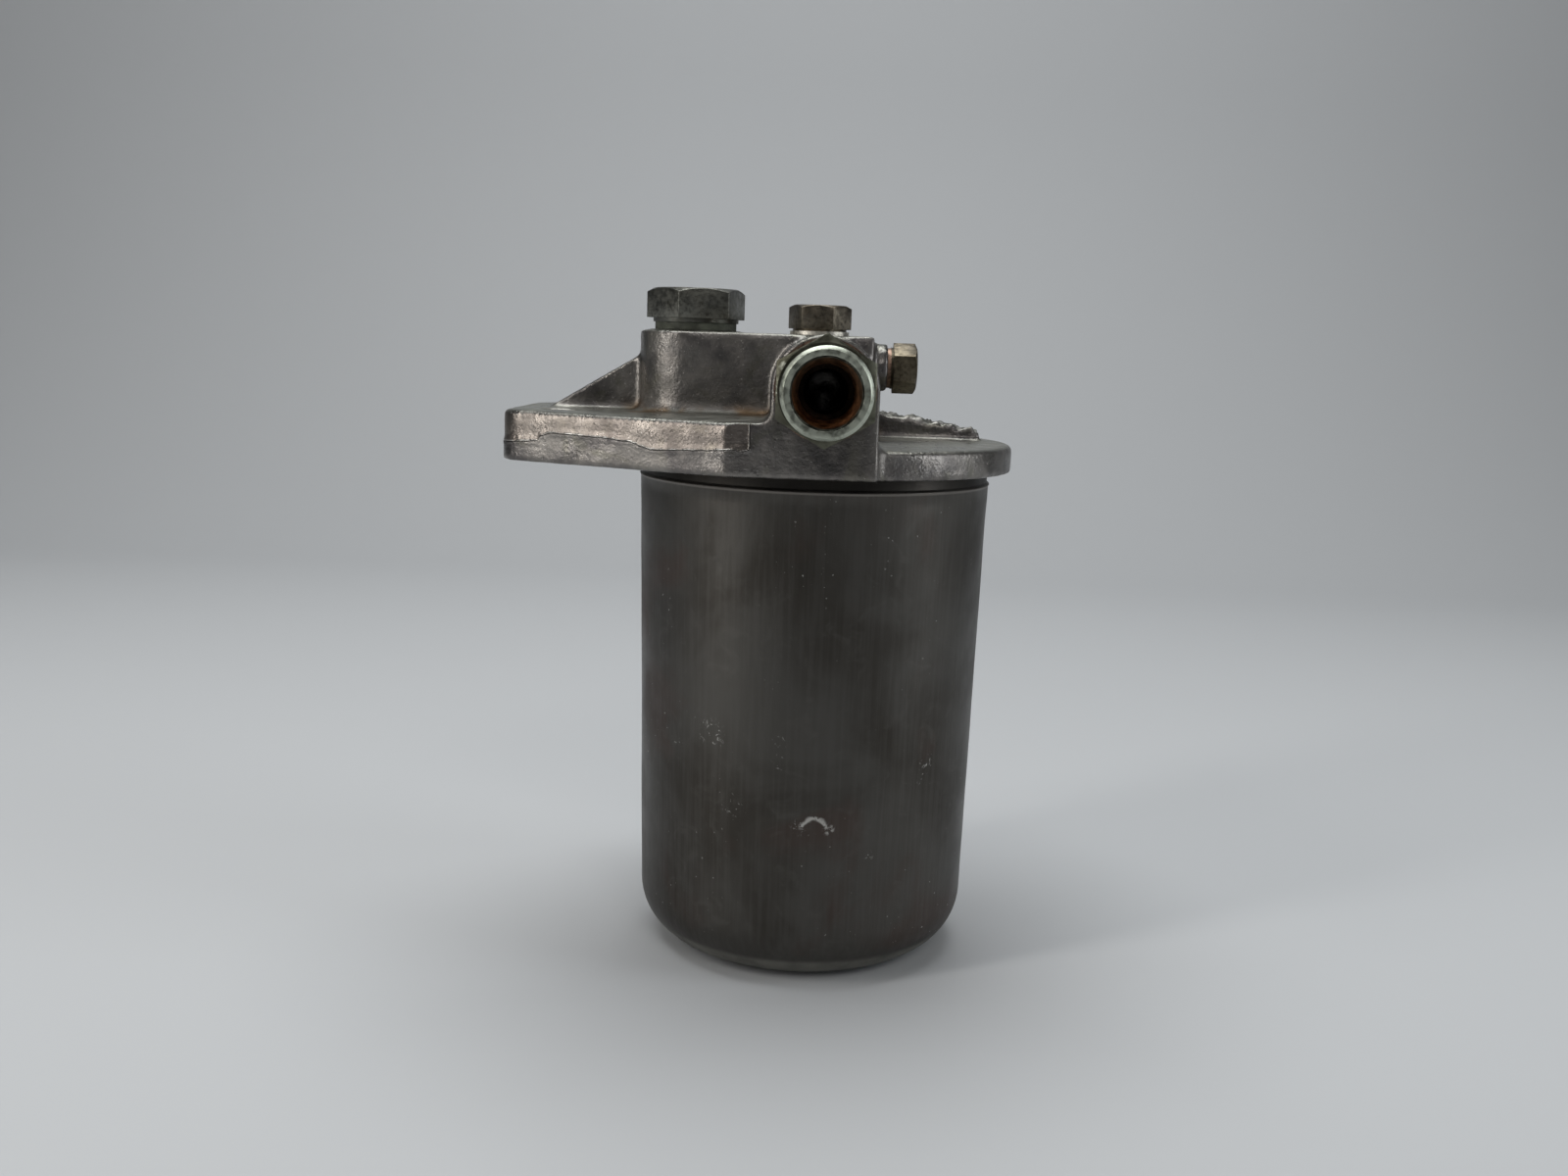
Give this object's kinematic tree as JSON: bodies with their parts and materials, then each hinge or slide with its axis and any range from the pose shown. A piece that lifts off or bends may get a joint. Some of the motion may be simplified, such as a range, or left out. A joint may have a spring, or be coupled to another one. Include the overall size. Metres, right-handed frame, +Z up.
{
  "type": "fuel filter",
  "caption": "Bowl-type fuel filter: die-cast head with bracket arm, side unions, filler plug and bleed screw over a drawn steel bowl on a centre bolt.",
  "frame": {"origin": "middle of the bowl's flat base, which the filter stands on", "axes": "+Z up along the bowl's axis, +X away from the bracket arm, -Y along the inlet union"},
  "size_m": [0.1279, 0.1452, 0.17],
  "materials": {
    "cast_head": "dark, grainy die casting with bright worn edges and oil stains",
    "bowl_steel": "dark satin drawn steel with faint streaks and scratches",
    "plain_steel": "plain, oiled",
    "seal_rubber": "matt black",
    "bolt_steel": "dulled, brown tinge",
    "washer_alloy": "matt",
    "plug_steel": "dull zinc",
    "plug_seal": "dark fibre ring",
    "vent_brass": "tarnished",
    "copper": "soft copper",
    "zinc_steel": "aged zinc, rusty inside",
    "tinplate": "pressed tinplate",
    "filter_paper": "resin paper"
  },
  "bodies": {
    "head": {"head_casting": "cast_head", "bowl_gasket": "seal_rubber", "inlet_union": "zinc_steel", "inlet_union_washer": "washer_alloy", "outlet_union": "zinc_steel", "outlet_union_washer": "washer_alloy"},
    "bowl": {"filter_bowl": "bowl_steel", "bowl_anchor_nut": "plain_steel", "element_spring": "plain_steel"},
    "element": {"element_top_seal": "seal_rubber", "element_top_cap": "tinplate", "element_bottom_cap": "tinplate", "element_core_tube": "tinplate", "element_paper": "filter_paper", "element_bolt_seal": "seal_rubber", "spring_plate": "plain_steel"},
    "bolt_carrier": {"centre_bolt_washer": "washer_alloy"},
    "bolt": {"centre_bolt": "bolt_steel"},
    "plug_carrier": {"filler_plug_washer": "plug_seal"},
    "plug": {"filler_plug": "plug_steel"},
    "vent_carrier": {"bleed_screw_washer": "copper"},
    "vent": {"bleed_screw": "vent_brass"}
  },
  "joints": [
    {"name": "head_lift", "type": "slide", "parent": "bowl", "child": "head", "axis": [0, 0, 1], "range_m": [0, 0.145]},
    {"name": "element_rise", "type": "slide", "parent": "bowl", "child": "element", "axis": [0, 0, 1], "range_m": [0, 0.0145], "deforming": ["element_spring"]},
    {"name": "bolt_lift", "type": "slide", "parent": "head", "child": "bolt_carrier", "axis": [0, 0, 1], "range_m": [0, 0.0105]},
    {"name": "bolt_turn", "type": "hinge", "parent": "bolt_carrier", "child": "bolt", "pos_m": [0, 0, 0.1603], "axis": [0, 0, 1], "range_deg": [0, 3025]},
    {"name": "plug_lift", "type": "slide", "parent": "head", "child": "plug_carrier", "axis": [0, 0, 1], "range_m": [0, 0.011]},
    {"name": "plug_turn", "type": "hinge", "parent": "plug_carrier", "child": "plug", "pos_m": [-0.0318, 0, 0.1615], "axis": [0, 0, 1], "range_deg": [0, 2641]},
    {"name": "vent_lift", "type": "slide", "parent": "head", "child": "vent_carrier", "axis": [1, 0, 0], "range_m": [0, 0.0076]},
    {"name": "vent_turn", "type": "hinge", "parent": "vent_carrier", "child": "vent", "pos_m": [0.0182, -0.005, 0.1517], "axis": [1, 0, 0], "range_deg": [0, 2737]}
  ],
  "couplings": [
    {"joint": "element_rise", "follows": "head_lift", "ratio": 0.1},
    {"joint": "bolt_turn", "follows": "bolt_lift", "rad_per_m": 5026.5},
    {"joint": "plug_turn", "follows": "plug_lift", "rad_per_m": 4188.8},
    {"joint": "vent_turn", "follows": "vent_lift", "rad_per_m": 6283.2}
  ]
}
